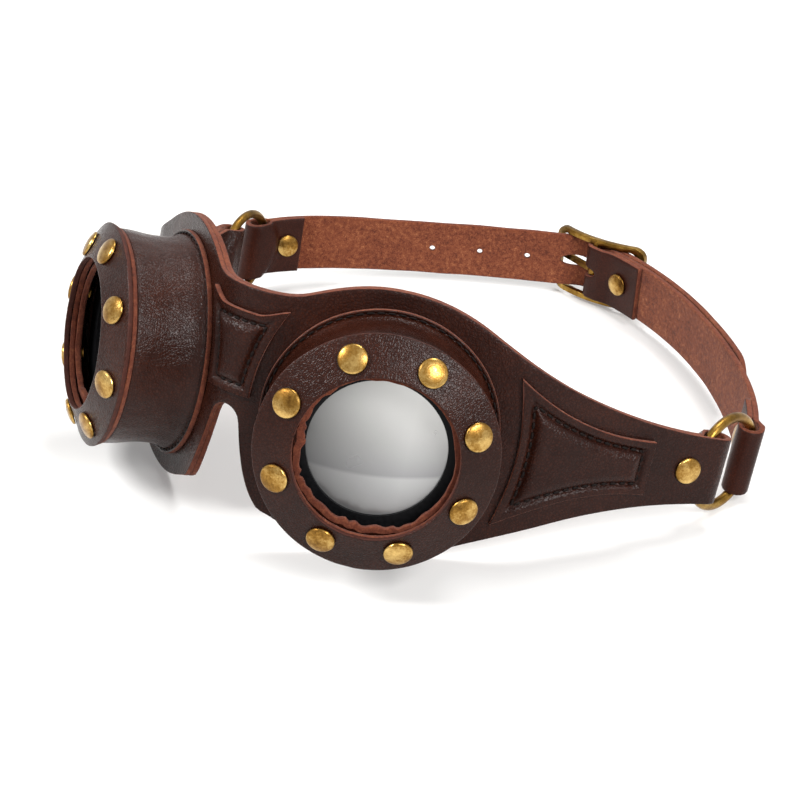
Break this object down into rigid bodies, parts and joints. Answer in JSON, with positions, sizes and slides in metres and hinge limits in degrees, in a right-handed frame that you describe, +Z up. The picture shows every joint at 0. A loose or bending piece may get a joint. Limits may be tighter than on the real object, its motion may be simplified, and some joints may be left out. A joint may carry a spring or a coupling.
{
  "type": "leather goggles",
  "caption": "Dark leather goggles: a shaped mask with round riveted eye cups, O-rings at the temples and a head strap that closes in a centre-bar buckle.",
  "frame": {"origin": "centre of the bounding box in plan, at the table that the goggles stand on", "axes": "+Z up from the table, -Y the way the lenses face, +X the wearer's left"},
  "size_m": [0.2094, 0.2159, 0.076],
  "materials": {
    "leather": "dark brown grained leather with a soft sheen",
    "lining": "red-brown flesh side and cut edges",
    "strap": "dark brown outside, red-brown suede inside",
    "brass": "antique brass",
    "lens": "grey smoke mirror",
    "carrier": "matt black"
  },
  "bodies": {
    "goggles": {"face_leather": "leather", "face_lining": "lining", "bridge_patch": "leather", "temple_patch_left": "leather", "temple_patch_right": "leather", "cup_wall_left": "leather", "cup_wall_right": "leather", "rim_front_left": "leather", "rim_front_right": "leather", "rim_back_left": "lining", "rim_back_right": "lining", "rim_rivets_left": "brass", "rim_rivets_right": "brass", "lens_left": "lens", "lens_right": "lens", "lens_carrier_left": "carrier", "lens_carrier_right": "carrier", "temple_rivet_left": "brass", "temple_rivet_right": "brass", "strap_long": "strap", "strap_short": "strap", "strap_long_rivet": "brass", "strap_short_rivet": "brass", "buckle_rivet": "brass"},
    "ring_left": {"o_ring_left": "brass"},
    "ring_right": {"o_ring_right": "brass"},
    "buckle": {"buckle_frame": "brass"},
    "prong": {"buckle_prong": "brass"}
  },
  "joints": [
    {"name": "ring_left_turn", "type": "hinge", "parent": "goggles", "child": "ring_left", "pos_m": [0.09683, 0.01185, 0.01554], "axis": [0.9848, -0.1669, 0.0479], "continuous": true},
    {"name": "ring_right_turn", "type": "hinge", "parent": "goggles", "child": "ring_right", "pos_m": [-0.09696, 0.0204, 0.01986], "axis": [-0.9848, -0.1669, 0.0479], "continuous": true},
    {"name": "buckle_rock", "type": "hinge", "parent": "goggles", "child": "buckle", "pos_m": [0.00005, 0.1018, 0.0143], "axis": [0, 0, 1], "range_deg": [-1, 1]},
    {"name": "prong_lift", "type": "hinge", "parent": "buckle", "child": "prong", "pos_m": [0.00005, 0.1018, 0.0143], "axis": [0, 0, -1], "range_deg": [0, 8]}
  ]
}
